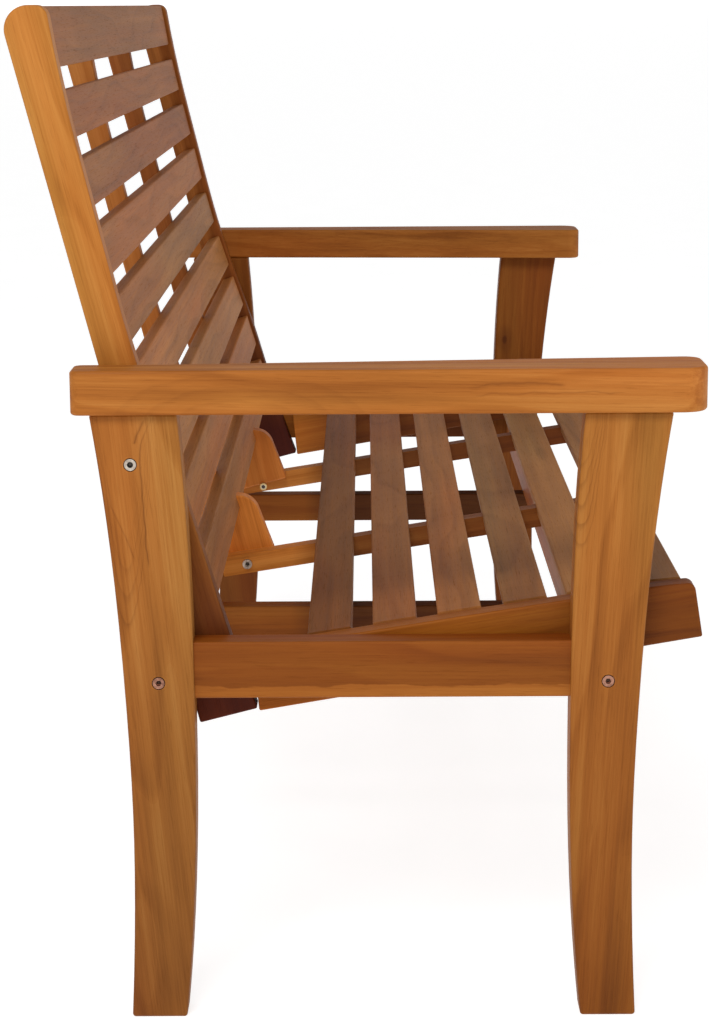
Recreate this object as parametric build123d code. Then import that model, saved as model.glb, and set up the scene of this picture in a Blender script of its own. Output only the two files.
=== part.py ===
from build123d import *
import math
import os

os.makedirs("parts", exist_ok=True)

# Slatted hardwood garden bench, knock-down build, millimetres.
# X runs along the bench, +Y points to the rear, Z is up, the floor is z = 0.

# Overall and end frames
leg_outer_x = 750.0
leg_thickness = 35.0
leg_inner_x = leg_outer_x - leg_thickness
leg_height = 584.0
leg_pair_middle_y = -19.6
# (height, distance from the middle of the leg pair) of the outward and inward leg edges
leg_outer_edge = [(0.0, 240.4), (98.0, 236.3), (190.0, 235.4)]
leg_outer_edge = leg_outer_edge + [(314.0, 240.0), (448.0, 250.0), (584.0, 267.5)]
leg_inner_edge = [(0.0, 188.0), (127.0, 178.4), (220.0, 175.6)]
leg_inner_edge = leg_inner_edge + [(300.0, 175.4), (460.0, 178.8), (584.0, 187.0)]

# Armrests
arm_thickness = 41.0
arm_outer_x = 760.0
arm_inner_rear_x = leg_inner_x
arm_inner_front_x = 677.0
arm_taper_start_y = 182.0
arm_rear_y = 264.0
arm_front_y = -318.5
arm_rear_corner = 9.0
arm_front_outer_corner = 24.0
arm_front_inner_corner = 16.0

# Side rails between the legs
side_rail_outer_x = 745.0
side_rail_bottom = 314.0
side_rail_top = 368.0
side_rail_end_overlap = 5.0

# Long rails and cross rails
long_rail_bottom = 305.0
long_rail_top = 355.0
long_rail_thickness = 28.0
front_rail_y = -230.0
rear_rail_y = 189.0
cross_rail_x = 324.0
cross_rail_thickness = 26.0
cross_rail_height = 36.0

# Back panel
upright_inner_x = 690.0
recline = 0.2569
upright_heel_y = 153.2
upright_heel_z = 281.6
upright_toe_y = 98.4
upright_toe_z = 295.6
upright_top_z = 951.0
upright_top_front_y = 280.5
upright_front_curve = [(122.5, 364.0), (164.5, 503.0), (208.5, 635.0), (238.5, 753.0), (258.5, 836.0)]
upright_top_front_corner = 12.0
upright_top_rear_corner = 22.0
mid_upright_x = 213.0
mid_member_thickness = 22.0
mid_upright_heel_offset = 1.0
mid_upright_rear_offset = 8.6
mid_upright_bend_z = 470.0
mid_upright_drop = 25.0
lobe_front_low_y = 98.5
lobe_front_low_z = 346.0
lobe_shoulder_y = 122.0
lobe_shoulder_z = 409.0
lobe_corner = 24.0
back_slat_thickness = 16.5
back_slat_setback = 5.0
slat_housing_depth = 1.0
back_slat_width = 45.0
top_slat_width = 56.5
back_slat_middles_z = [921.0, 850.3, 786.4, 722.5, 658.6, 594.7, 535.5, 477.5, 413.5]

# Seat panel
seat_rail_top = [(103.0, 353.0), (39.0, 363.0), (-93.0, 384.0)]
seat_rail_top = seat_rail_top + [(-196.0, 400.0), (-272.0, 411.5), (-313.5, 415.5)]
seat_rail_front_low = (-321.8, 363.5)
seat_rail_rear_low = (97.0, 293.0)
seat_rail_nose = 8.0
mid_seat_rail_height = 22.0
mid_seat_rail_sink = 2.5
mid_seat_rail_rear_y = 155.0
mid_seat_rail_bends_y = [39.0, -93.0, -196.0, -262.0]
mid_seat_rail_front_y = -299.0
seat_slat_thickness = 12.5
seat_slat_proud = 1.5
seat_slat_width = 42.0
front_seat_slat_width = 44.0
seat_slat_middles = [29.7, -32.5, -94.1, -156.6, -216.4, -281.5]

# The outline drawn below runs from y = -321.5 to y = 326.8; this centres it on y = 0
centring_y = -2.63

# Edge easing
big_ease = 3.0
small_ease = 2.0

# Fasteners
bolt_d = 8.0
bolt_head_d = 11.0
bolt_head_h = 5.0
socket_width = 5.0
socket_depth = 3.5
washer_d = 12.6
washer_h = 1.5
nut_d = 14.0
nut_h = 7.0
back_nut_depth = 3.0
back_bolt_y = 210.8
back_bolt_z = 537.0
rail_bolt_z = 330.0
rail_bolt_length = 110.0
barrel_nut_d = 10.0
barrel_nut_length = 20.0
barrel_nut_x = 650.0
lap_bolt_y = 128.0
lap_bolt_d = 6.0
lap_head_d = 10.5
lap_nut_d = 9.0
screw_d = 4.0
screw_head_d = 8.0
screw_head_h = 3.0
screw_bite_seat_slat = 2.0
screw_bite_back_slat = 2.0
screw_bite_long_rail = 22.0
screw_bite_side_rail = 20.0
screw_head_sink = 1.0
seat_screw_places = [(20.0, 340.0), (-150.0, 350.0)]
dowel_d = 8.0
dowel_half = 14.0
big_dowel_d = 10.0
big_dowel_half = 22.0
arm_dowel_reach = 227.0
arm_dowel_offset = 18.0
side_rail_dowel_offset = 12.0

# Allowance when picking edges by place
near = 1.0
front_edge_halvings = 30


def flat_shape(edges):
    """Closed outline drawn in (Y, Z) as a face standing in the YZ plane."""
    return Plane.YZ * make_face(Curve() + edges)


def plate(face, x_low, thickness):
    """Push a standing face along +X from x_low."""
    return Pos(x_low, 0, 0) * extrude(face, amount=thickness, dir=(1, 0, 0))


def rod_x(diameter, x_low, x_high, y, z):
    length = x_high - x_low
    return Pos((x_low + x_high) / 2, y, z) * Rot(0, 90, 0) * Cylinder(diameter / 2, length)


def rod_z(diameter, x, y, z_low, z_high):
    return Pos(x, y, (z_low + z_high) / 2) * Cylinder(diameter / 2, z_high - z_low)


def rod_along(diameter, start, end):
    """Straight rod between two points."""
    a = Vector(*start)
    b = Vector(*end)
    direction = b - a
    plane = Plane(origin=a, z_dir=direction)
    return plane * Pos(0, 0, direction.length / 2) * Cylinder(diameter / 2, direction.length)


def eased(solid, radius):
    return fillet(solid.edges(), radius)


def eased_long(solid, radius):
    """Ease only the four long edges of a slat."""
    return fillet(solid.edges().filter_by(Axis.X), radius)


def flipped(solid):
    return mirror(solid, about=Plane.YZ)


def line_y(low, high, z):
    """Depth at height z of the straight line through two (Y, Z) points."""
    return low[0] + (high[0] - low[0]) * (z - low[1]) / (high[1] - low[1])


def top_line(y):
    """Height and slope dZ/dY of the seat rail top at depth y."""
    for rear, front in zip(seat_rail_top[:-1], seat_rail_top[1:]):
        if y >= front[0]:
            slope = (rear[1] - front[1]) / (rear[0] - front[0])
            return front[1] + slope * (y - front[0]), slope
    return seat_rail_top[-1][1], 0.0


def leg_face(direction):
    """Sabre leg outline; direction +1 is the rear leg, -1 the front leg."""
    outer = [(leg_pair_middle_y + direction * u, z) for z, u in leg_outer_edge]
    inner = [(leg_pair_middle_y + direction * u, z) for z, u in leg_inner_edge]
    edges = [Spline(outer), Line(outer[-1], inner[-1]), Spline(inner[::-1]), Line(inner[0], outer[0])]
    return flat_shape(edges)


# ---- end frames, built on the +X end -------------------------------------------------

rear_leg = eased(plate(leg_face(1), leg_inner_x, leg_thickness), big_ease)
front_leg = eased(plate(leg_face(-1), leg_inner_x, leg_thickness), big_ease)

arm_corners = [
    (arm_outer_x, arm_rear_y),
    (arm_outer_x, arm_front_y),
    (arm_inner_front_x, arm_front_y),
    (arm_inner_rear_x, arm_taper_start_y),
    (arm_inner_rear_x, arm_rear_y),
]
arm_plan = make_face(Polyline(arm_corners, close=True))
armrest = Pos(0, 0, leg_height) * extrude(arm_plan, amount=arm_thickness)
arm_vertical = armrest.edges().filter_by(Axis.Z)
arm_rear_edges = arm_vertical.filter_by(lambda e: e.center().Y > arm_rear_y - near)
armrest = fillet(arm_rear_edges, arm_rear_corner)
arm_vertical = armrest.edges().filter_by(Axis.Z)
arm_front_edges = arm_vertical.filter_by(lambda e: e.center().Y < arm_front_y + near)
arm_outer_front = arm_front_edges.filter_by(lambda e: e.center().X > arm_outer_x - near)
armrest = fillet(arm_outer_front, arm_front_outer_corner)
arm_vertical = armrest.edges().filter_by(Axis.Z)
arm_inner_front = arm_vertical.filter_by(lambda e: e.center().X < arm_inner_front_x + near)
armrest = fillet(arm_inner_front, arm_front_inner_corner)
arm_rims = armrest.faces().filter_by(Axis.Z).edges()
armrest = fillet(arm_rims, big_ease)

side_rail_thickness = side_rail_outer_x - leg_inner_x
side_rail_reach = leg_inner_edge[3][1]
side_rail_length = 2 * (side_rail_reach + side_rail_end_overlap)
side_rail_height = side_rail_top - side_rail_bottom
side_rail_z = (side_rail_top + side_rail_bottom) / 2
side_rail_x = leg_inner_x + side_rail_thickness / 2
side_rail = Box(side_rail_thickness, side_rail_length, side_rail_height)
side_rail = fillet(side_rail.edges().filter_by(Axis.Y), small_ease)
side_rail = Pos(side_rail_x, leg_pair_middle_y, side_rail_z) * side_rail
side_rail = side_rail - plate(leg_face(1), leg_inner_x, leg_thickness)
side_rail = side_rail - plate(leg_face(-1), leg_inner_x, leg_thickness)

# ---- rails between the end frames -----------------------------------------------------

long_rail_height = long_rail_top - long_rail_bottom
long_rail_blank = eased_long(Box(2 * leg_inner_x, long_rail_thickness, long_rail_height), small_ease)
long_rail_front = Pos(0, front_rail_y, rail_bolt_z) * long_rail_blank
long_rail_rear = Pos(0, rear_rail_y, rail_bolt_z) * long_rail_blank

cross_rail_length = rear_rail_y - front_rail_y + long_rail_thickness
cross_rail = Box(cross_rail_thickness, cross_rail_length, cross_rail_height)
cross_rail = fillet(cross_rail.edges().filter_by(Axis.Y), small_ease)
cross_rail_z = long_rail_bottom - cross_rail_height / 2
cross_rail = Pos(cross_rail_x, (rear_rail_y + front_rail_y) / 2, cross_rail_z) * cross_rail

# ---- back panel ------------------------------------------------------------------------

upright_thickness = leg_inner_x - upright_inner_x


def rear_line_y(z):
    return upright_heel_y + recline * (z - upright_heel_z)


toe = (upright_toe_y, upright_toe_z)
heel = (upright_heel_y, upright_heel_z)
top_front = (upright_top_front_y, upright_top_z)
top_rear = (rear_line_y(upright_top_z), upright_top_z)
front_points = [toe] + upright_front_curve + [top_front]
front_edge = Spline(front_points)
upright_edges = [Line(toe, heel), Line(heel, top_rear), Line(top_rear, top_front), front_edge]
upright_face = make_face(Curve() + upright_edges)
upright_tops = upright_face.vertices().filter_by(lambda v: v.Y > upright_top_z - near)
rear_top_vertex = upright_tops.sort_by(Axis.X)[-1]
upright_face = fillet(rear_top_vertex, upright_top_rear_corner)
front_top_vertex = upright_face.vertices().sort_by_distance((upright_top_front_y, upright_top_z, 0))[0]
upright_face = fillet(front_top_vertex, upright_top_front_corner)
end_upright = extrude(Plane.YZ * upright_face, amount=upright_thickness, dir=(1, 0, 0))
end_upright = eased(Pos(upright_inner_x, 0, 0) * end_upright, small_ease)


def front_edge_at(z):
    """Depth and backward lean, in degrees, of the end uprights' front edge at height z."""
    low = 0.0
    high = 1.0
    for step in range(front_edge_halvings):
        middle = (low + high) / 2
        if (front_edge @ middle).Y < z:
            low = middle
        else:
            high = middle
    tangent = front_edge % low
    return (front_edge @ low).X, math.degrees(math.atan2(tangent.X, tangent.Y))


back_slats = []
back_slat_places = []
for middle_z in back_slat_middles_z:
    width = top_slat_width if middle_z == back_slat_middles_z[0] else back_slat_width
    front_y, lean = front_edge_at(middle_z)
    centre_y = front_y + back_slat_setback + back_slat_thickness / 2
    slat = eased_long(Box(2 * upright_inner_x, back_slat_thickness, width), small_ease)
    back_slats.append(Pos(0, centre_y, middle_z) * Rot(-lean, 0, 0) * slat)
    back_slat_places.append((centre_y, middle_z))

mid_setback = back_slat_setback + back_slat_thickness - slat_housing_depth
mid_front = [(y + mid_setback, z) for y, z in upright_front_curve]
mid_top_z = upright_top_z - mid_upright_drop
mid_front_top = (upright_top_front_y + mid_setback - mid_upright_drop * recline, mid_top_z)
mid_rear_top = (rear_line_y(mid_top_z) + mid_upright_rear_offset, mid_top_z)
mid_rear_bend = (rear_line_y(mid_upright_bend_z) + mid_upright_rear_offset, mid_upright_bend_z)
lobe_low = (lobe_front_low_y, lobe_front_low_z)
lobe_run = rear_line_y(lobe_front_low_z) + mid_upright_heel_offset - lobe_front_low_y
lobe_heel_z = lobe_front_low_z - recline * lobe_run / (1 + recline * recline)
lobe_heel = (rear_line_y(lobe_heel_z) + mid_upright_heel_offset, lobe_heel_z)
lobe_rear = (rear_line_y(lobe_shoulder_z) + mid_upright_heel_offset, lobe_shoulder_z)
lobe_shoulder = (lobe_shoulder_y, lobe_shoulder_z)
mid_start_y = line_y(upright_front_curve[0], upright_front_curve[1], lobe_shoulder_z) + mid_setback
mid_start = (mid_start_y, lobe_shoulder_z)


def mid_rear_y(z):
    """Depth of a mid upright's rear face at height z."""
    if z > mid_upright_bend_z:
        return line_y(mid_rear_bend, mid_rear_top, z)
    return line_y(lobe_rear, mid_rear_bend, z)


mid_edges = [
    Line(lobe_heel, lobe_low),
    Line(lobe_low, lobe_shoulder),
    Line(lobe_shoulder, mid_start),
    Spline([mid_start] + mid_front[1:] + [mid_front_top]),
    Line(mid_front_top, mid_rear_top),
    Line(mid_rear_top, mid_rear_bend),
    Line(mid_rear_bend, lobe_rear),
    Line(lobe_rear, lobe_heel),
]
mid_face = make_face(Curve() + mid_edges)
shoulder_vertex = mid_face.vertices().sort_by_distance((lobe_shoulder_y, lobe_shoulder_z, 0))[0]
mid_face = fillet(shoulder_vertex, lobe_corner)
mid_upright = extrude(Plane.YZ * mid_face, amount=mid_member_thickness, dir=(1, 0, 0))
mid_upright = eased(Pos(mid_upright_x, 0, 0) * mid_upright, small_ease)
for slat in back_slats:
    mid_upright = mid_upright - slat

# ---- seat panel ------------------------------------------------------------------------

seat_front_top = seat_rail_top[-1]
seat_rear_top = seat_rail_top[0]
seat_end_edges = [
    Spline(seat_rail_top),
    Line(seat_front_top, seat_rail_front_low),
    Line(seat_rail_front_low, seat_rail_rear_low),
    Line(seat_rail_rear_low, seat_rear_top),
]
seat_end_face = make_face(Curve() + seat_end_edges)
nose_vertex = seat_end_face.vertices().sort_by_distance((seat_front_top[0], seat_front_top[1], 0))[0]
seat_end_face = fillet(nose_vertex, seat_rail_nose)
seat_end_rail = extrude(Plane.YZ * seat_end_face, amount=upright_thickness, dir=(1, 0, 0))
seat_end_rail = eased(Pos(upright_inner_x, 0, 0) * seat_end_rail, small_ease)
rail_block = Box(2 * leg_inner_x, long_rail_thickness, long_rail_height)
seat_end_rail = seat_end_rail - Pos(0, front_rail_y, rail_bolt_z) * rail_block

seat_slats = []
seat_slat_places = []
for index, middle_y in enumerate(seat_slat_middles):
    last = index == len(seat_slat_middles) - 1
    width = front_seat_slat_width if last else seat_slat_width
    top_z, slope = top_line(middle_y)
    tilt = math.degrees(math.atan(slope))
    slat = eased_long(Box(2 * upright_inner_x, width, seat_slat_thickness), small_ease)
    centre_z = top_z + seat_slat_proud - seat_slat_thickness / 2
    seat_slats.append(Pos(0, middle_y, centre_z) * Rot(tilt, 0, 0) * slat)
    seat_slat_places.append((middle_y, centre_z))

mid_seat_x = mid_upright_x + mid_member_thickness
mid_top = []
for y in [mid_seat_rail_rear_y] + mid_seat_rail_bends_y + [mid_seat_rail_front_y]:
    mid_top.append((y, top_line(y)[0] - mid_seat_rail_sink))
mid_low = [(y, z - mid_seat_rail_height) for y, z in mid_top]
mid_seat_outline = Polyline(mid_top + mid_low[::-1], close=True)
mid_seat_rail = plate(Plane.YZ * make_face(mid_seat_outline), mid_seat_x, mid_member_thickness)
mid_seat_rail = fillet(mid_seat_rail.edges().filter_by(Axis.X).group_by(Axis.Y)[-1], small_ease)
for slat in seat_slats:
    mid_seat_rail = mid_seat_rail - slat

# ---- fasteners, +X side, each cut out of the timber it passes through --------------------

recess_x = leg_outer_x - bolt_head_h
socket_radius = socket_width / math.sqrt(3)
washer_x = recess_x - washer_h


def bolt_with_head(x_tip, x_seat, y, z, shank, head):
    """Bolt lying along X, its hexagon-socket head facing +X."""
    body = rod_x(shank, x_tip, x_seat, y, z) + rod_x(head, x_seat, x_seat + bolt_head_h, y, z)
    hexagon = Plane.YZ * RegularPolygon(socket_radius, 6)
    socket = extrude(hexagon, amount=socket_depth, dir=(1, 0, 0))
    return body - Pos(x_seat + bolt_head_h - socket_depth, y, z) * socket


def ring_x(outer, bore, x_low, x_high, y, z):
    return rod_x(outer, x_low, x_high, y, z) - rod_x(bore, x_low, x_high, y, z)


back_nut_x = upright_inner_x + back_nut_depth
back_bolt = bolt_with_head(back_nut_x, recess_x, back_bolt_y, back_bolt_z, bolt_d, bolt_head_d)
back_washer = ring_x(washer_d, bolt_d, washer_x, recess_x, back_bolt_y, back_bolt_z)
back_nut = ring_x(nut_d, bolt_d, back_nut_x, back_nut_x + nut_h, back_bolt_y, back_bolt_z)
back_hole = rod_x(bolt_d, back_nut_x, leg_outer_x, back_bolt_y, back_bolt_z)
back_recess = rod_x(washer_d, washer_x, leg_outer_x, back_bolt_y, back_bolt_z)
rear_leg = rear_leg - back_hole - back_recess
end_upright = end_upright - back_hole - back_nut

rail_bolts = []
rail_washers = []
barrel_nuts = []
for rail_y in (front_rail_y, rear_rail_y):
    tip = leg_outer_x - rail_bolt_length
    rail_bolts.append(bolt_with_head(tip, recess_x, rail_y, rail_bolt_z, bolt_d, bolt_head_d))
    rail_washers.append(ring_x(washer_d, bolt_d, washer_x, recess_x, rail_y, rail_bolt_z))
    nut = Rot(90, 0, 0) * Cylinder(barrel_nut_d / 2, barrel_nut_length)
    nut = Pos(barrel_nut_x, rail_y, rail_bolt_z) * nut
    hole = rod_x(bolt_d, tip, leg_outer_x, rail_y, rail_bolt_z)
    recess = rod_x(washer_d, washer_x, leg_outer_x, rail_y, rail_bolt_z)
    if rail_y < 0:
        front_leg = front_leg - hole - recess
        long_rail_front = long_rail_front - hole - nut - flipped(hole) - flipped(nut)
    else:
        rear_leg = rear_leg - hole - recess
        long_rail_rear = long_rail_rear - hole - nut - flipped(hole) - flipped(nut)
    barrel_nuts.append(nut - hole)

lap_bolt_z = top_line(lap_bolt_y)[0] - mid_seat_rail_sink - mid_seat_rail_height / 2
lap_outer = mid_seat_x + mid_member_thickness
lap_tip = mid_upright_x - nut_h
lap_bolt = bolt_with_head(lap_tip, lap_outer, lap_bolt_y, lap_bolt_z, lap_bolt_d, lap_head_d)
lap_nut = ring_x(lap_nut_d, lap_bolt_d, lap_tip, mid_upright_x, lap_bolt_y, lap_bolt_z)
lap_hole = rod_x(lap_bolt_d, mid_upright_x, lap_outer, lap_bolt_y, lap_bolt_z)
mid_upright = mid_upright - lap_hole
mid_seat_rail = mid_seat_rail - lap_hole

seat_fix_screws = []
for screw_y, screw_z in seat_screw_places:
    head_end_x = upright_inner_x + screw_head_h
    screw = rod_x(screw_d, head_end_x, leg_inner_x + screw_bite_side_rail, screw_y, screw_z)
    screw = screw + rod_x(screw_head_d, upright_inner_x, head_end_x, screw_y, screw_z)
    seat_end_rail = seat_end_rail - screw
    side_rail = side_rail - screw
    seat_fix_screws.append(screw)

seat_slat_screws = []
seat_slat_dowels = []
mid_rail_middle_x = mid_seat_x + mid_member_thickness / 2
for index, (y, z) in enumerate(seat_slat_places):
    low = top_line(y)[0] - mid_seat_rail_sink - mid_seat_rail_height
    screw = rod_z(screw_d, mid_rail_middle_x, y, low + screw_head_h, z + screw_bite_seat_slat)
    screw = screw + rod_z(screw_head_d, mid_rail_middle_x, y, low + screw_head_sink, low + screw_head_h)
    mid_seat_rail = mid_seat_rail - screw
    dowel = rod_x(dowel_d, upright_inner_x - dowel_half, upright_inner_x + dowel_half, y, z)
    seat_end_rail = seat_end_rail - dowel
    for tool in (screw, dowel):
        seat_slats[index] = seat_slats[index] - tool - flipped(tool)
    seat_slat_screws.append(screw)
    seat_slat_dowels.append(dowel)

back_slat_screws = []
back_slat_dowels = []
mid_upright_middle_x = mid_upright_x + mid_member_thickness / 2
for index, (y, z) in enumerate(back_slat_places):
    rear_face_y = mid_rear_y(z)
    start = (mid_upright_middle_x, rear_face_y, z)
    neck = (mid_upright_middle_x, rear_face_y - screw_head_h, z)
    end = (mid_upright_middle_x, y - screw_bite_back_slat, z)
    screw = rod_along(screw_d, neck, end) + rod_along(screw_head_d, start, neck)
    mid_upright = mid_upright - screw
    dowel = rod_x(dowel_d, upright_inner_x - dowel_half, upright_inner_x + dowel_half, y, z)
    end_upright = end_upright - dowel
    for tool in (screw, dowel):
        back_slats[index] = back_slats[index] - tool - flipped(tool)
    back_slat_screws.append(screw)
    back_slat_dowels.append(dowel)

arm_dowels = []
arm_dowel_x = leg_inner_x + leg_thickness / 2
arm_dowel_low = leg_height - big_dowel_half
arm_dowel_high = leg_height + big_dowel_half
for direction in (1, -1):
    for offset in (-arm_dowel_offset, arm_dowel_offset):
        y = leg_pair_middle_y + direction * arm_dowel_reach + offset
        dowel = rod_z(big_dowel_d, arm_dowel_x, y, arm_dowel_low, arm_dowel_high)
        armrest = armrest - dowel
        if direction > 0:
            rear_leg = rear_leg - dowel
        else:
            front_leg = front_leg - dowel
        arm_dowels.append(dowel)

side_rail_dowels = []
for direction in (1, -1):
    for z in (side_rail_z - side_rail_dowel_offset, side_rail_z + side_rail_dowel_offset):
        middle = leg_pair_middle_y + direction * side_rail_reach
        low = (side_rail_x, middle - big_dowel_half, z)
        high = (side_rail_x, middle + big_dowel_half, z)
        dowel = rod_along(big_dowel_d, low, high)
        side_rail = side_rail - dowel
        if direction > 0:
            rear_leg = rear_leg - dowel
        else:
            front_leg = front_leg - dowel
        side_rail_dowels.append(dowel)

cross_rail_screws = []
cross_low = long_rail_bottom - cross_rail_height
cross_head_end = cross_low + screw_head_h
cross_screw_tip = long_rail_bottom + screw_bite_long_rail
for rail_y in (front_rail_y, rear_rail_y):
    screw = rod_z(screw_d, cross_rail_x, rail_y, cross_head_end, cross_screw_tip)
    screw = screw + rod_z(screw_head_d, cross_rail_x, rail_y, cross_low, cross_head_end)
    cross_rail = cross_rail - screw
    if rail_y < 0:
        long_rail_front = long_rail_front - screw - flipped(screw)
    else:
        long_rail_rear = long_rail_rear - screw - flipped(screw)
    cross_rail_screws.append(screw)

# ---- write one STEP per node ---------------------------------------------------------


def save(name, shapes):
    solids = []
    for shape in shapes:
        solids.extend((Pos(0, centring_y, 0) * shape).solids())
    whole = solids[0] if len(solids) == 1 else Compound(children=solids)
    export_step(whole, os.path.join("parts", name + ".step"))


def save_pair(name, solid):
    save(name + "_right", [solid])
    save(name + "_left", [flipped(solid)])


def save_group(name, shapes):
    save(name, shapes + [flipped(shape) for shape in shapes])


save_pair("rear_leg", rear_leg)
save_pair("front_leg", front_leg)
save_pair("armrest", armrest)
save_pair("side_rail", side_rail)
save("long_rail_front", [long_rail_front])
save("long_rail_rear", [long_rail_rear])
save_pair("cross_rail", cross_rail)
save_pair("back_end_upright", end_upright)
save_pair("back_mid_upright", mid_upright)
save_pair("seat_end_rail", seat_end_rail)
save_pair("seat_mid_rail", mid_seat_rail)
for index, slat in enumerate(back_slats):
    save("back_slat_" + str(index + 1), [slat])
for index, slat in enumerate(seat_slats):
    save("seat_slat_" + str(index + 1), [slat])
save_group("back_bolts", [back_bolt])
save_group("back_bolt_nuts", [back_nut])
save_group("bolt_washers", [back_washer] + rail_washers)
save_group("rail_bolts", rail_bolts)
save_group("barrel_nuts", barrel_nuts)
save_group("lap_bolts", [lap_bolt])
save_group("lap_nuts", [lap_nut])
save_group("seat_rail_screws", seat_fix_screws)
save_group("seat_slat_screws", seat_slat_screws)
save_group("back_slat_screws", back_slat_screws)
save_group("cross_rail_screws", cross_rail_screws)
save_group("seat_slat_dowels", seat_slat_dowels)
save_group("back_slat_dowels", back_slat_dowels)
save_group("arm_dowels", arm_dowels)
save_group("side_rail_dowels", side_rail_dowels)
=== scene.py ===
import math
import random

import bpy
from mathutils import Matrix, Vector

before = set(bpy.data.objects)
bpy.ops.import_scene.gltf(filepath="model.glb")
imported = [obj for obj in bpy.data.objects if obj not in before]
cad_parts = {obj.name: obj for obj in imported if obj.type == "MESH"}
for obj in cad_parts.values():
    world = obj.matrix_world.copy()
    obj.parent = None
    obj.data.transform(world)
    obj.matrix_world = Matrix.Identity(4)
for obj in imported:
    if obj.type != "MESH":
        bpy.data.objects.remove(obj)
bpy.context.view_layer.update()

# Slatted hardwood garden bench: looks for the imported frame. Metres, +X along the bench,
# +Y to the rear, +Z up. The camera looks along +X at the left end.

# ---- camera -------------------------------------------------------------------------
CAMERA_PLACE = (-3.049, -0.0081, 0.9497)
CAMERA_PITCH = math.radians(11.26)
CAMERA_YAW = math.radians(0.27)
CAMERA_ROLL = math.radians(-0.36)
FRAME_HEIGHT = 1024
FOCAL_IN_FRAME_UNITS = 2550.0
SENSOR = 36.0
CLIP_END = 1500

# ---- stage and light -----------------------------------------------------------------
WORLD_STRENGTH = 0.45
KEY_PLACE = (-3.2, 0.8, 2.9)
KEY_TARGET = (-0.6, 0.05, 0.62)
KEY_SIZE = (1.6, 1.2)
KEY_POWER = 66.0
FILL_PLACE = (-1.6, -3.2, 1.7)
FILL_TARGET = (0.0, 0.0, 0.6)
FILL_SIZE = (2.4, 1.6)
FILL_POWER = 22.0
FLOOR_HALF = 400.0
FLOOR_WALL_TOP = 60.0
FLOOR_GLOW = 0.74
FLOOR_TONES = ((0.52, 0.52, 0.52), (0.55, 0.55, 0.55))
FLOOR_MOTTLE_SCALE = (6.0, 6.0, 6.0)

# ---- wood tones (linear) -------------------------------------------------------------
HONEY = {"dark": (0.340, 0.108, 0.013), "mid": (0.490, 0.172, 0.026), "light": (0.620, 0.255, 0.052)}
BROWN = {"dark": (0.175, 0.084, 0.036), "mid": (0.262, 0.130, 0.058), "light": (0.365, 0.190, 0.090)}
BEECH = {"dark": (0.42, 0.26, 0.13), "mid": (0.52, 0.34, 0.18), "light": (0.62, 0.43, 0.25)}

WOOD_SPECULAR = 0.14
WOOD_BUMP = {"Strength": 0.20, "Distance": 0.0005}

# Noise scales (along the grain, across, across) of each layer of the wood's figure
WANDER_SCALE = (1.6, 9.0, 9.0)
FIBRE_SCALE = (7.0, 520.0, 520.0)
BAND_SCALE = (1.1, 75.0, 75.0)
PORE_SCALE = (38.0, 1300.0, 1300.0)
CLOUD_SCALE = (2.2, 7.0, 7.0)
WARM_SCALE = (1.3, 14.0, 14.0)
SAW_SCALE = (260.0, 6.0, 6.0)
RUB_SCALE = (38.0, 38.0, 38.0)

# Share of each layer in the figure
RING_SHARE = 0.60
BAND_SHARE = 0.95
FIBRE_SHARE = 0.62
CLOUD_SHARE = 0.95
PORE_SHARE = 0.30

# Growth rings: stretch along the grain, pull of the wander, spacing of the wave and its wobble
RING_STRETCH = 0.40
RING_PULL = 8.0
RING_WAVE = {"Scale": 0.24, "Distortion": 1.1, "Detail": 2.0, "Detail Scale": 1.0}

# Radius of the rounding that finds the worn edges
EDGE_RADIUS = 0.004

# Ripple of the drawn figures: noise scale, and how far it moves a line in depth and in height
RIPPLE_SCALE = (30.0, 30.0, 30.0)
RIPPLE_DEPTH = 0.006
RIPPLE_HEIGHT = 0.010

# ---- darkening along a timber, mostly painted shade ----------------------------------
# Multipliers at the darker end of a timber that darkens along its run
# Painted shade towards the feet of the legs
REAR_LEG_FOOT_SHADE = (0.66, 0.60, 0.55)
FRONT_LEG_FOOT_SHADE = (0.58, 0.47, 0.26)
# Painted shade at the toe of the back end uprights
UPRIGHT_TOE_SHADE = (0.19, 0.06, 0.01)
# The mid uprights darken towards the top
MID_UPRIGHT_TOP = (0.55, 0.56, 0.60)
# Painted shade under the seat slats
UNDER_SEAT_SHADE = (0.34, 0.30, 0.26)
# Painted shade at the front of the seat end rails
SEAT_RAIL_FRONT_SHADE = (0.52, 0.46, 0.38)
PLAIN = (1.0, 1.0, 1.0)
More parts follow.
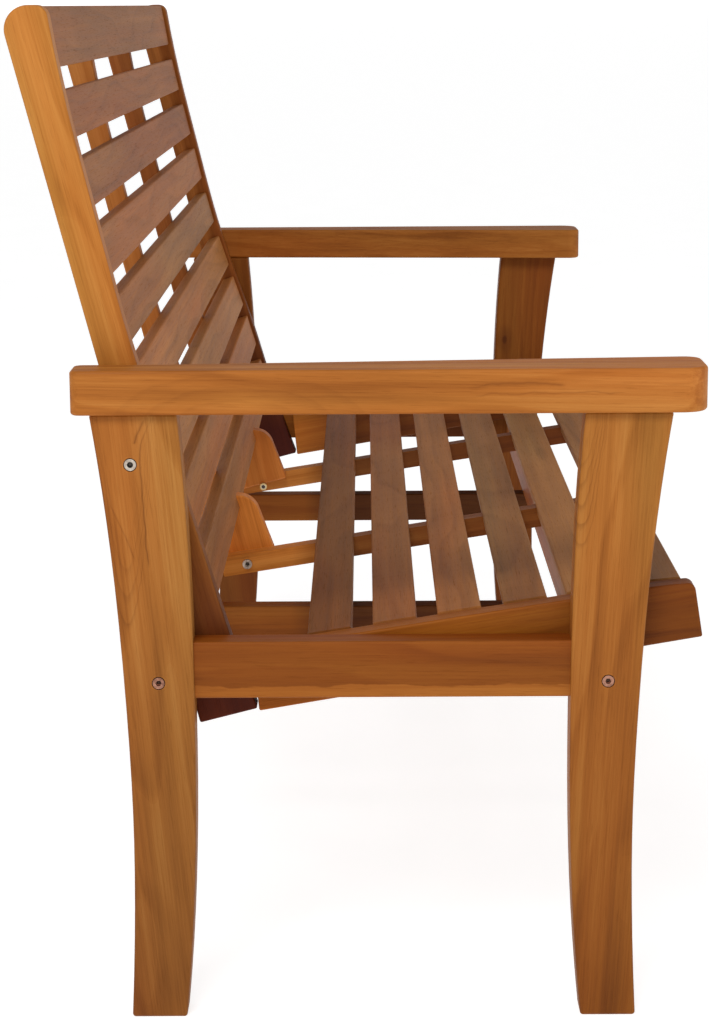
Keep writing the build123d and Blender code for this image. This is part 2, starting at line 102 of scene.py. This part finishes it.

# Colour of each timber relative to the tones above; the darker multipliers on the far end frame, the near
# side rail under the arm and the cross, long and seat rails are painted shade
TINTS_AND_SHADE = {
    "rear_leg_left": (0.70, 0.75, 0.82),
    "front_leg_left": (0.72, 0.80, 0.88),
    "armrest_left": (0.78, 0.76, 0.76),
    "side_rail_left": (0.42, 0.31, 0.14),
    "seat_end_rail_left": (0.62, 0.50, 0.20),
    "seat_mid_rail_left": (1.02, 0.99, 0.95),
    "back_end_upright_left": (0.82, 0.90, 0.94),
    "back_mid_upright_left": (1.22, 1.12, 1.10),
    "cross_rail_left": (0.48, 0.40, 0.26),
    # Far end frame: the darker multipliers here are painted shade
    "rear_leg_right": (0.41, 0.34, 0.20),
    "front_leg_right": (0.41, 0.34, 0.20),
    "armrest_right": (0.62, 0.58, 0.49),
    "side_rail_right": (0.70, 0.65, 0.45),
    "seat_end_rail_right": (0.70, 0.65, 0.45),
    "seat_mid_rail_right": (0.75, 0.68, 0.60),
    "back_end_upright_right": (0.45, 0.38, 0.30),
    "back_mid_upright_right": (0.80, 0.68, 0.65),
    "cross_rail_right": (0.42, 0.36, 0.22),
    "long_rail_front": (0.60, 0.52, 0.45),
    "long_rail_rear": (0.55, 0.48, 0.42),
    "back_slat_1": (1.07, 0.81, 0.48),
    "back_slat_2": (1.17, 0.81, 0.42),
    "back_slat_3": (1.10, 0.79, 0.42),
    "back_slat_4": (1.35, 1.02, 0.53),
    "back_slat_5": (1.25, 1.01, 0.54),
    "back_slat_6": (1.52, 1.18, 0.62),
    "back_slat_7": (1.45, 1.14, 0.62),
    "back_slat_8": (1.46, 1.12, 0.58),
    "back_slat_9": (1.34, 1.04, 0.56),
    "seat_slat_1": (0.78, 0.58, 0.30),
    "seat_slat_2": (1.06, 0.82, 0.50),
    "seat_slat_3": (1.22, 0.95, 0.55),
    "seat_slat_4": (0.98, 0.88, 0.57),
    "seat_slat_5": (1.15, 1.10, 0.74),
    "seat_slat_6": (1.15, 1.05, 0.72),
}
PORE_TONE = (0.50, 0.42, 0.36)
REDDER_TONE = (1.06, 0.86, 0.74)
WORN_TONE = (1.30, 1.34, 1.45)
MARK_TONE = (0.42, 0.34, 0.28)
# Painted highlight on the lower edge of the side rail
LIT_CHAMFER_TONE = (1.55, 1.80, 3.0)
SAPWOOD_TONE = (1.25, 1.35, 1.5)

# ---- grain directions ----------------------------------------------------------------
ALONG_BENCH = (1, 0, 0)
ALONG_UPRIGHT = (0.0, 0.2489, 0.9685)
ALONG_SEAT = (0.0, -0.987, 0.158)

# ---- metals as (colour, roughness, tarnish colour) -----------------------------------
STEEL = ((0.62, 0.55, 0.47), 0.30, (0.24, 0.17, 0.12))
BRONZE = ((0.44, 0.22, 0.15), 0.38, (0.14, 0.06, 0.04))
BRASS = ((0.72, 0.58, 0.28), 0.28, (0.34, 0.23, 0.10))
# Near-black painted shade inside the drive recesses of the bolts
RECESS_SHADE = (0.020, 0.016, 0.013)
SPOT_NOISE = {"Scale": 420.0, "Detail": 4.0}
FILM_NOISE = {"Scale": 90.0, "Detail": 3.0}
METAL_BUMP = {"Strength": 0.12, "Distance": 0.0002}

# Bolt axes as (depth, height), and the radii of their drive recesses
BACK_BOLT = (0.2082, 0.537)
RAIL_BOLTS = ((-0.2326, 0.330), (0.1864, 0.330))
LAP_BOLT = (0.1254, 0.3356)
BACK_SOCKET_RADIUS = 0.0028
RAIL_SOCKET_RADIUS = 0.0020
LAP_SOCKET_RADIUS = 0.0022
LAP_NUT_RADIUS = 0.0017


def make_camera():
    data = bpy.data.cameras.new("photo_camera")
    data.sensor_fit = "VERTICAL"
    data.sensor_height = SENSOR
    data.lens = SENSOR * FOCAL_IN_FRAME_UNITS / FRAME_HEIGHT
    data.clip_end = CLIP_END
    data.dof.use_dof = False
    camera = bpy.data.objects.new("photo_camera", data)
    forward = Vector((
        math.cos(CAMERA_PITCH) * math.cos(CAMERA_YAW),
        math.cos(CAMERA_PITCH) * math.sin(CAMERA_YAW),
        -math.sin(CAMERA_PITCH),
    ))
    level_right = forward.cross(Vector((0, 0, 1))).normalized()
    level_up = level_right.cross(forward)
    right = level_right * math.cos(CAMERA_ROLL) + level_up * math.sin(CAMERA_ROLL)
    up = right.cross(forward)
    rotation = Matrix((right, up, -forward)).transposed().to_4x4()
    camera.matrix_world = Matrix.Translation(CAMERA_PLACE) @ rotation
    bpy.context.collection.objects.link(camera)
    bpy.context.scene.camera = camera


# ---- node helpers --------------------------------------------------------------------
class Graph:
    """Short names for building a material's node tree."""

    def __init__(self, name):
        self.material = bpy.data.materials.new(name)
        self.material.use_nodes = True
        self.tree = self.material.node_tree
        self.tree.nodes.clear()
        self.output = self.tree.nodes.new("ShaderNodeOutputMaterial")
        self.shader = self.tree.nodes.new("ShaderNodeBsdfPrincipled")
        self.join(self.shader.outputs["BSDF"], self.output.inputs["Surface"])

    def join(self, source, target):
        self.tree.links.new(source, target)

    def node(self, kind, inputs=None, **settings):
        made = self.tree.nodes.new(kind)
        for key, value in settings.items():
            setattr(made, key, value)
        for key, value in (inputs or {}).items():
            socket = made.inputs[key]
            if isinstance(value, bpy.types.NodeSocket):
                self.join(value, socket)
            else:
                socket.default_value = value
        return made

    def math(self, operation, first, second=0.0, clamp=False):
        made = self.node("ShaderNodeMath", operation=operation, use_clamp=clamp)
        for index, value in enumerate((first, second)):
            if isinstance(value, bpy.types.NodeSocket):
                self.join(value, made.inputs[index])
            else:
                made.inputs[index].default_value = value
        return made.outputs[0]

    def stretched_noise(self, place, scale, detail, roughness):
        """Noise in a space stretched by scale, as a value from 0 to 1."""
        space = self.node("ShaderNodeMapping", {"Vector": place, "Scale": scale}).outputs[0]
        settings = {"Vector": space, "Scale": 1.0, "Detail": detail, "Roughness": roughness}
        return self.node("ShaderNodeTexNoise", settings).outputs["Fac"]

    def ramp(self, factor, stops, smooth=False):
        """Colour ramp; stops are (position, value) or (position, colour)."""
        made = self.node("ShaderNodeValToRGB", {"Fac": factor})
        elements = made.color_ramp.elements
        while len(elements) < len(stops):
            elements.new(0.5)
        for element, (place, value) in zip(elements, stops):
            element.position = place
            colour = value if isinstance(value, tuple) else (value, value, value)
            element.color = (*colour[:3], 1.0)
        if smooth:
            made.color_ramp.interpolation = "EASE"
        return made.outputs["Color"]

    def mix(self, factor, first, second, blend="MIX"):
        made = self.node("ShaderNodeMix", data_type="RGBA", blend_type=blend)
        # A colour mix has its factor on input 0, its colours on 6 and 7, and its colour result on output 2
        for socket, value in ((made.inputs[0], factor), (made.inputs[6], first), (made.inputs[7], second)):
            if isinstance(value, bpy.types.NodeSocket):
                self.join(value, socket)
            elif isinstance(value, tuple):
                socket.default_value = (*value[:3], 1.0)
            else:
                socket.default_value = value
        return made.outputs[2]

    def multiply(self, colour, by):
        return self.mix(1.0, colour, by, "MULTIPLY")

    def length(self, first, second):
        """Length of the hypotenuse over two values."""
        squares = [self.math("MULTIPLY", side, side) for side in (first, second)]
        return self.math("SQRT", self.math("ADD", *squares))

    def axis_value(self, place, axis):
        return self.node("ShaderNodeSeparateXYZ", {"Vector": place}).outputs[axis]


def wood(name, tones, along, seed, tint=(1, 1, 1), fade=None, gloss=0.46, ring=70.0, contrast=1.0,
         wear=0.5, saw=0.0, marks=()):
    """Planed, oiled hardwood.

    along is the grain direction. tint multiplies the whole colour: the timber's own tone, with painted
    shade on the far and lower timbers. fade is (axis, start, end, multiplier at the start, multiplier at
    the end), a darkening along one axis that is painted shade on most timbers. marks are functions that
    draw single figures on top.
    """
    g = Graph(name)
    dice = random.Random(seed)
    turn = Vector(along).normalized().rotation_difference(Vector((1, 0, 0))).to_euler()
    place = g.node("ShaderNodeTexCoord").outputs["Object"]
    offset = (dice.uniform(-3, 3), dice.uniform(-0.5, 0.5), dice.uniform(-0.5, 0.5))
    to_grain = {"Vector": place, "Rotation": turn, "Location": offset}
    rotated = g.node("ShaderNodeMapping", to_grain).outputs[0]

    # Slow wander of the growth rings, stretched along the grain
    slow = g.node("ShaderNodeMapping", {"Vector": rotated, "Scale": WANDER_SCALE}).outputs[0]
    wander_settings = {"Vector": slow, "Scale": 1.0, "Detail": 2.0, "Roughness": 0.45}
    wander = g.node("ShaderNodeTexNoise", wander_settings)
    ring_scale = (RING_STRETCH, ring, ring)
    ring_space = g.node("ShaderNodeMapping", {"Vector": rotated, "Scale": ring_scale}).outputs[0]
    pull = g.node("ShaderNodeVectorMath", {0: wander.outputs["Color"]}, operation="SCALE")
    pull.inputs["Scale"].default_value = RING_PULL
    bent = g.node("ShaderNodeVectorMath", {0: ring_space, 1: pull.outputs[0]}, operation="ADD").outputs[0]
    rings = g.node(
        "ShaderNodeTexWave", {"Vector": bent, **RING_WAVE},
        wave_type="RINGS", rings_direction="X", wave_profile="SAW",
    ).outputs["Fac"]

    # Fine fibres, broader bands, soft clouds and darker pores
    fibre = g.stretched_noise(rotated, FIBRE_SCALE, 5.0, 0.62)
    band = g.stretched_noise(rotated, BAND_SCALE, 4.0, 0.55)
    pore = g.stretched_noise(rotated, PORE_SCALE, 2.0, 0.5)
    cloud = g.stretched_noise(rotated, CLOUD_SCALE, 3.0, 0.55)
    warm = g.stretched_noise(rotated, WARM_SCALE, 2.0, 0.5)

    ring_tone = g.ramp(rings, [(0.0, 0.60), (0.60, 0.52), (0.90, 0.30), (1.0, 0.50)], smooth=True)
    figure = g.math("MULTIPLY", g.math("SUBTRACT", ring_tone, 0.5), RING_SHARE * contrast)
    for layer, share in ((band, BAND_SHARE), (fibre, FIBRE_SHARE), (cloud, CLOUD_SHARE)):
        figure = g.math("ADD", figure, g.math("MULTIPLY", g.math("SUBTRACT", layer, 0.5), share * contrast))
    figure = g.math("ADD", figure, 0.5)
    colour = g.ramp(figure, [(0.16, tones["dark"]), (0.50, tones["mid"]), (0.84, tones["light"])])
    redder = g.multiply(colour, REDDER_TONE)
    colour = g.mix(g.ramp(warm, [(0.42, 0.0), (0.62, 0.75)]), colour, redder)

    pores = g.ramp(pore, [(0.30, 1.0), (0.42, 0.0)])
    colour = g.mix(g.math("MULTIPLY", pores, PORE_SHARE), colour, g.multiply(colour, PORE_TONE))
    if saw:
        across = g.stretched_noise(rotated, SAW_SCALE, 3.0, 0.6)
        shade = g.ramp(across, [(0.35, 1.0 - saw), (0.65, 1.0 + 0.5 * saw)])
        colour = g.multiply(colour, shade)
    for mark in marks:
        colour = mark(g, place, colour)

    # Timber tone, with painted shade on the far and lower timbers
    colour = g.multiply(colour, tint)
    # Darkening along one axis: painted shade at the feet, the toe, under the seat and at the front of the
    # seat end rail
    if fade:
        axis, start, end, start_tone, end_tone = fade
        value = g.axis_value(place, axis)
        share = g.math("DIVIDE", g.math("SUBTRACT", value, start), end - start, clamp=True)
        colour = g.multiply(colour, g.ramp(share, [(0.0, start_tone), (1.0, end_tone)]))

    # Worn, lighter edges: where a rounded normal leaves the true one
    rounded = g.node("ShaderNodeBevel", {"Radius": EDGE_RADIUS}, samples=4).outputs[0]
    true = g.node("ShaderNodeNewGeometry").outputs["Normal"]
    agreement = g.node("ShaderNodeVectorMath", {0: rounded, 1: true}, operation="DOT_PRODUCT")
    facing = agreement.outputs["Value"]
    edge = g.ramp(g.math("SUBTRACT", 1.0, facing), [(0.01, 0.0), (0.16, 1.0)])
    rub = g.ramp(g.stretched_noise(rotated, RUB_SCALE, 4.0, 0.5), [(0.36, 0.15), (0.64, 1.0)])
    worn = g.math("MULTIPLY", g.math("MULTIPLY", edge, rub), wear)
    colour = g.mix(worn, colour, g.multiply(colour, WORN_TONE))
    g.join(colour, g.shader.inputs["Base Color"])

    rough = g.math("ADD", g.math("MULTIPLY", fibre, 0.20), gloss - 0.02)
    rough = g.math("ADD", rough, g.math("MULTIPLY", pores, 0.18))
    g.join(rough, g.shader.inputs["Roughness"])
    g.shader.inputs["Specular IOR Level"].default_value = WOOD_SPECULAR

    height = g.math("SUBTRACT", fibre, g.math("MULTIPLY", pores, 0.8))
    height = g.math("ADD", height, g.math("MULTIPLY", band, 0.9))
    bump = g.node("ShaderNodeBump", {**WOOD_BUMP, "Height": height}).outputs[0]
    g.join(bump, g.shader.inputs["Normal"])
    return g.material


def darken(g, factor, colour):
    return g.mix(factor, colour, g.multiply(colour, MARK_TONE))


def side_view(g, place):
    """Depth Y and height Z of the shaded point, rippled so that no line is drawn ruler-straight."""
    parts = g.node("ShaderNodeSeparateXYZ", {"Vector": place})
    ripple = g.math("SUBTRACT", g.stretched_noise(place, RIPPLE_SCALE, 3.0, 0.5), 0.5)
    depth = g.math("ADD", parts.outputs["Y"], g.math("MULTIPLY", ripple, RIPPLE_DEPTH))
    height = g.math("ADD", parts.outputs["Z"], g.math("MULTIPLY", ripple, RIPPLE_HEIGHT))
    return depth, height


def oval_distance(g, place, depth, height, half_length, half_height):
    """Distance from the middle of an upright oval, 1 on its rim."""
    y, z = side_view(g, place)
    dy = g.math("DIVIDE", g.math("SUBTRACT", y, depth), half_length)
    dz = g.math("DIVIDE", g.math("SUBTRACT", z, height), half_height)
    return g.length(dy, dz)


def knot(depth, height, radius, strength):
    """A small dark knot seen from the side."""
    def draw(g, place, colour):
        far = oval_distance(g, place, depth, height, radius, 1.7 * radius)
        core = g.ramp(g.math("DIVIDE", far, 3.0), [(0.10, 1.0), (0.30, 0.40), (0.95, 0.0)], smooth=True)
        return darken(g, g.math("MULTIPLY", core, strength), colour)
    return draw


def streak(points, width, strength, upright=True):
    """A thin dark line through (run, offset) points.

    The run is the height on an upright timber and the depth on a level one; the offset is the other.
    """
    def draw(g, place, colour):
        y, z = side_view(g, place)
        run, offset = (z, y) if upright else (y, z)
        first, last = points[0][0], points[-1][0]
        share = g.math("DIVIDE", g.math("SUBTRACT", run, first), last - first, clamp=True)
        low = min(value for run_at, value in points)
        high = max(value for run_at, value in points)
        stops = []
        for run_at, value in points:
            stops.append(((run_at - first) / (last - first), (value - low) / (high - low)))
        path = g.math("ADD", g.math("MULTIPLY", g.ramp(share, stops), high - low), low)
        far = g.math("ABSOLUTE", g.math("SUBTRACT", offset, path))
        line = g.ramp(g.math("DIVIDE", far, width), [(0.0, 1.0), (0.45, 0.30), (1.0, 0.0)])
        ends = g.ramp(share, [(0.0, 0.0), (0.06, 1.0), (0.80, 0.8), (1.0, 0.0)])
        return darken(g, g.math("MULTIPLY", g.math("MULTIPLY", line, ends), strength), colour)
    return draw


def fine_rings(g, value, period):
    """Thin late-wood lines at every period of value, each fading in slowly and ending sharply."""
    share = g.math("FRACT", g.math("DIVIDE", value, period))
    return g.ramp(share, [(0.0, 0.0), (0.55, 0.10), (0.90, 1.0), (1.0, 0.0)])


def cathedral(depth, low, high, curve, period, strength):
    """Nested U-shaped growth lines on a leg, tips down, between two heights."""
    def draw(g, place, colour):
        y, z = side_view(g, place)
        dy = g.math("SUBTRACT", y, depth)
        value = g.math("SUBTRACT", z, g.math("MULTIPLY", g.math("MULTIPLY", dy, dy), curve))
        lines = fine_rings(g, value, period)
        share = g.math("DIVIDE", g.math("SUBTRACT", value, low), high - low, clamp=True)
        mask = g.ramp(share, [(0.0, 0.0), (0.12, 1.0), (0.75, 0.6), (1.0, 0.0)])
        return darken(g, g.math("MULTIPLY", g.math("MULTIPLY", lines, mask), strength), colour)
    return draw


def oval(depth, height, half_length, half_height, lines, strength):
    """Nested oval growth lines on an arm."""
    def draw(g, place, colour):
        far = oval_distance(g, place, depth, height, half_length, half_height)
        rings = fine_rings(g, far, 1.0 / lines)
        mask = g.ramp(g.math("DIVIDE", far, 1.3), [(0.12, 0.2), (0.45, 0.8), (0.80, 1.0), (1.0, 0.0)])
        return darken(g, g.math("MULTIPLY", g.math("MULTIPLY", rings, mask), strength), colour)
    return draw


def lit_chamfer_strip(top):
    """A paler strip along the lower edge of a rail, a painted highlight standing in for a lit chamfer, with
    an uneven upper border.
    """
    def draw(g, place, colour):
        height = side_view(g, place)[1]
        below = g.math("MULTIPLY", g.math("SUBTRACT", top, height), 100.0)
        mask = g.ramp(below, [(0.0, 0.0), (0.12, 0.9)])
        return g.mix(mask, colour, g.multiply(colour, LIT_CHAMFER_TONE))
    return draw


def light_patch(depth, height, half_length, half_height, strength):
    """A soft pale patch of sapwood."""
    def draw(g, place, colour):
        far = oval_distance(g, place, depth, height, half_length, half_height)
        mask = g.math("MULTIPLY", g.ramp(far, [(0.0, 1.0), (1.0, 0.0)], smooth=True), strength)
        return g.mix(mask, colour, g.multiply(colour, SAPWOOD_TONE))
    return draw


def metal(name, kind, seed, sockets=(), socket_radius=0.0):
    """Plated metal with faint spots and a dull film.

    sockets are the (depth, height) axes of the drive recesses, which are painted near-black as shade.
    """
    base, rough, tarnish = kind
    g = Graph(name)
    dice = random.Random(seed)
    place = g.node("ShaderNodeTexCoord").outputs["Object"]
    shift = (dice.uniform(0, 5), 0, 0)
    moved = g.node("ShaderNodeMapping", {"Vector": place, "Location": shift}).outputs[0]
    spots = g.node("ShaderNodeTexNoise", {"Vector": moved, **SPOT_NOISE}).outputs["Fac"]
    film = g.node("ShaderNodeTexNoise", {"Vector": moved, **FILM_NOISE}).outputs["Fac"]
    dullness = g.math("ADD", g.math("MULTIPLY", spots, 0.5), g.math("MULTIPLY", film, 0.5))
    mask = g.ramp(dullness, [(0.44, 0.0), (0.62, 1.0)])
    colour = g.mix(g.math("MULTIPLY", mask, 0.55), base, tarnish)
    parts = g.node("ShaderNodeSeparateXYZ", {"Vector": place})
    # Paint each drive recess near-black as shade
    for depth, height in sockets:
        dy = g.math("SUBTRACT", parts.outputs["Y"], depth)
        dz = g.math("SUBTRACT", parts.outputs["Z"], height)
        far = g.math("DIVIDE", g.length(dy, dz), 2.0 * socket_radius)
        recess_shade_mask = g.ramp(far, [(0.0, 0.80), (0.46, 1.0), (0.54, 0.0)])
        colour = g.mix(recess_shade_mask, colour, RECESS_SHADE)
    g.join(colour, g.shader.inputs["Base Color"])
    g.shader.inputs["Metallic"].default_value = 1.0
    g.join(g.math("ADD", g.math("MULTIPLY", mask, 0.25), rough), g.shader.inputs["Roughness"])
    bump = g.node("ShaderNodeBump", {**METAL_BUMP, "Height": spots}).outputs[0]
    g.join(bump, g.shader.inputs["Normal"])
    return g.material


def dress(node_name, material):
    """Give a CAD node its finished material."""
    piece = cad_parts[node_name]
    piece.data.materials.clear()
    piece.data.materials.append(material)


# Single figures that stand out on a timber, placed by depth and height
FIGURES = {
    "rear_leg_left": (
        streak([(0.440, 0.194), (0.468, 0.195), (0.505, 0.197), (0.531, 0.199), (0.556, 0.198),
                (0.583, 0.186)], 0.0016, 0.85),
        streak([(0.556, 0.204), (0.568, 0.200), (0.580, 0.194)], 0.0030, 0.75),
        streak([(0.446, 0.205), (0.468, 0.213), (0.497, 0.226), (0.531, 0.231)], 0.0018, 0.45),
        cathedral(0.214, 0.375, 0.470, 260.0, 0.026, 0.32),
    ),
    "front_leg_left": (cathedral(-0.2046, 0.452, 0.560, 210.0, 0.0185, 0.50), ),
    # Painted highlight along the lower edge of the near side rail
    "side_rail_left": (lit_chamfer_strip(0.3262), ),
    "rear_leg_right": (knot(0.205, 0.30, 0.006, 0.8), ),
    "front_leg_right": (knot(-0.215, 0.46, 0.006, 0.9), ),
    "armrest_left": (
        oval(0.108, 0.574, 0.105, 0.043, 3.5, 0.14),
        light_patch(0.100, 0.598, 0.050, 0.012, 0.5),
        streak([(-0.190, 0.611), (-0.140, 0.612), (-0.100, 0.609)], 0.0030, 0.55, upright=False),
        streak([(-0.240, 0.602), (-0.170, 0.604), (-0.090, 0.600)], 0.0018, 0.45, upright=False),
    ),
}


def dress_wood():
    # Each fade is (axis, start, end, multiplier at the start, multiplier at the end)
    # Painted shade towards the feet of the legs
    rear_leg_shade_fade = ("Z", 0.02, 0.50, REAR_LEG_FOOT_SHADE, PLAIN)
    front_leg_shade_fade = ("Z", 0.02, 0.50, FRONT_LEG_FOOT_SHADE, PLAIN)
    # Painted shade at the front of the seat end rail
    seat_end_shade_fade = ("Y", -0.10, -0.26, PLAIN, SEAT_RAIL_FRONT_SHADE)
    # Painted shade at the toe of the back end uprights
    end_upright_shade_fade = ("Z", 0.33, 0.60, UPRIGHT_TOE_SHADE, PLAIN)
    mid_upright_fade = ("Z", 0.43, 0.56, PLAIN, MID_UPRIGHT_TOP)
    # Painted shade under the seat slats, on the rails below them
    under_seat_shade_fade = ("Y", 0.075, 0.035, PLAIN, UNDER_SEAT_SHADE)
    side_under_seat_shade_fade = ("Y", 0.090, 0.010, PLAIN, UNDER_SEAT_SHADE)
    for side, seed in (("left", 11), ("right", 57)):
        # (stem of the name, grain direction, ring spacing, contrast, fade)
        pieces = (
            ("rear_leg_", (0, 0.10, 1), 60, 1.0, rear_leg_shade_fade),
            ("front_leg_", (0, -0.06, 1), 58, 1.0, front_leg_shade_fade),
            ("armrest_", (0, 1, 0.02), 52, 1.0, None),
            ("side_rail_", (0, 1, 0.01), 70, 0.8, None),
            ("seat_end_rail_", ALONG_SEAT, 75, 0.9, seat_end_shade_fade),
            ("seat_mid_rail_", ALONG_SEAT, 80, 0.9, under_seat_shade_fade),
            ("back_end_upright_", ALONG_UPRIGHT, 65, 0.8, end_upright_shade_fade),
            ("back_mid_upright_", ALONG_UPRIGHT, 65, 0.9, mid_upright_fade),
            ("cross_rail_", (0, 1, 0), 70, 1.0, under_seat_shade_fade),
        )
        for number, (stem, along, ring, contrast, fade) in enumerate(pieces):
            name = stem + side
            # The far side and seat end rails take the painted shade under the seat
            if name in ("side_rail_right", "seat_end_rail_right"):
                fade = side_under_seat_shade_fade
            material = wood(name + "_wood", HONEY, along, seed + number, tint=TINTS_AND_SHADE[name], fade=fade,
                            ring=ring, contrast=contrast, marks=FIGURES.get(name, ()))
            dress(name, material)
    for name, seed in (("long_rail_front", 101), ("long_rail_rear", 102)):
        dress(name, wood(name + "_wood", HONEY, ALONG_BENCH, seed, tint=TINTS_AND_SHADE[name], ring=70))
    for stem, count in (("back_slat_", 9), ("seat_slat_", 6)):
        for number in range(1, count + 1):
            name = stem + str(number)
            seed = 200 + number + 100 * (stem == "seat_slat_")
            dress(name, wood(name + "_wood", BROWN, ALONG_BENCH, seed, tint=TINTS_AND_SHADE[name], gloss=0.52,
                             ring=55, contrast=0.75, wear=0.35, saw=0.05))
    dowel = wood("dowel_wood", BEECH, ALONG_BENCH, 400, ring=120, wear=0.1)
    for name in ("seat_slat_dowels", "back_slat_dowels", "arm_dowels", "side_rail_dowels"):
        dress(name, dowel)


def dress_metal():
    # (node, name of the material, metal, seed, drive recesses, radius of the recess)
    fasteners = (
        ("back_bolts", "back_bolt_steel", STEEL, 1, [BACK_BOLT], BACK_SOCKET_RADIUS),
        ("lap_bolts", "lap_bolt_steel", STEEL, 2, [LAP_BOLT], LAP_SOCKET_RADIUS),
        ("rail_bolts", "rail_bolt_bronze", BRONZE, 3, RAIL_BOLTS, RAIL_SOCKET_RADIUS),
        ("lap_nuts", "lap_nut_brass", BRASS, 4, [LAP_BOLT], LAP_NUT_RADIUS),
    )
    for node_name, name, kind, seed, sockets, socket_radius in fasteners:
        dress(node_name, metal(name, kind, seed, sockets, socket_radius))
    dress("back_bolt_nuts", metal("nut_steel", STEEL, 5))
    dress("bolt_washers", metal("washer_bronze", BRONZE, 6))
    dress("barrel_nuts", metal("barrel_bronze", BRONZE, 7))
    screws = ("seat_rail_screws", "seat_slat_screws", "back_slat_screws", "cross_rail_screws")
    for seed, name in enumerate(screws, start=10):
        dress(name, metal(name + "_brass", BRASS, seed))


# ---- stage ---------------------------------------------------------------------------
def make_floor():
    """Pale floor that ends in a far wall, beyond the bench as the camera sees it."""
    mesh = bpy.data.meshes.new("studio_floor")
    half = FLOOR_HALF
    corners = [(-half, -half, 0), (half, -half, 0), (half, half, 0), (-half, half, 0)]
    corners += [(half, -half, FLOOR_WALL_TOP), (half, half, FLOOR_WALL_TOP)]
    mesh.from_pydata(corners, [], [(0, 1, 2, 3), (1, 4, 5, 2)])
    floor = bpy.data.objects.new("studio_floor", mesh)
    bpy.context.collection.objects.link(floor)
    g = Graph("studio_floor")
    place = g.node("ShaderNodeTexCoord").outputs["Object"]
    mottle = g.stretched_noise(place, FLOOR_MOTTLE_SCALE, 3.0, 0.5)
    tone = g.ramp(mottle, [(0.3, FLOOR_TONES[0]), (0.7, FLOOR_TONES[1])])
    g.join(tone, g.shader.inputs["Base Color"])
    g.shader.inputs["Roughness"].default_value = 0.9
    g.shader.inputs["Specular IOR Level"].default_value = 0.1
    g.shader.inputs["Emission Color"].default_value = (1.0, 1.0, 1.0, 1.0)
    g.shader.inputs["Emission Strength"].default_value = FLOOR_GLOW
    mesh.materials.append(g.material)


def area_light(name, place, target, size, power):
    data = bpy.data.lights.new(name, "AREA")
    data.shape = "RECTANGLE"
    data.size, data.size_y = size
    data.energy = power
    lamp = bpy.data.objects.new(name, data)
    lamp.location = place
    lamp.rotation_euler = (Vector(target) - Vector(place)).to_track_quat("-Z", "Y").to_euler()
    bpy.context.collection.objects.link(lamp)


def make_light():
    world = bpy.data.worlds.new("studio")
    bpy.context.scene.world = world
    world.use_nodes = True
    background = world.node_tree.nodes["Background"]
    background.inputs["Color"].default_value = (1.0, 1.0, 1.0, 1.0)
    background.inputs["Strength"].default_value = WORLD_STRENGTH
    area_light("key", KEY_PLACE, KEY_TARGET, KEY_SIZE, KEY_POWER)
    area_light("front_fill", FILL_PLACE, FILL_TARGET, FILL_SIZE, FILL_POWER)


bpy.context.scene.view_settings.view_transform = "Standard"
make_camera()
make_floor()
make_light()
dress_wood()
dress_metal()

bpy.context.view_layer.update()
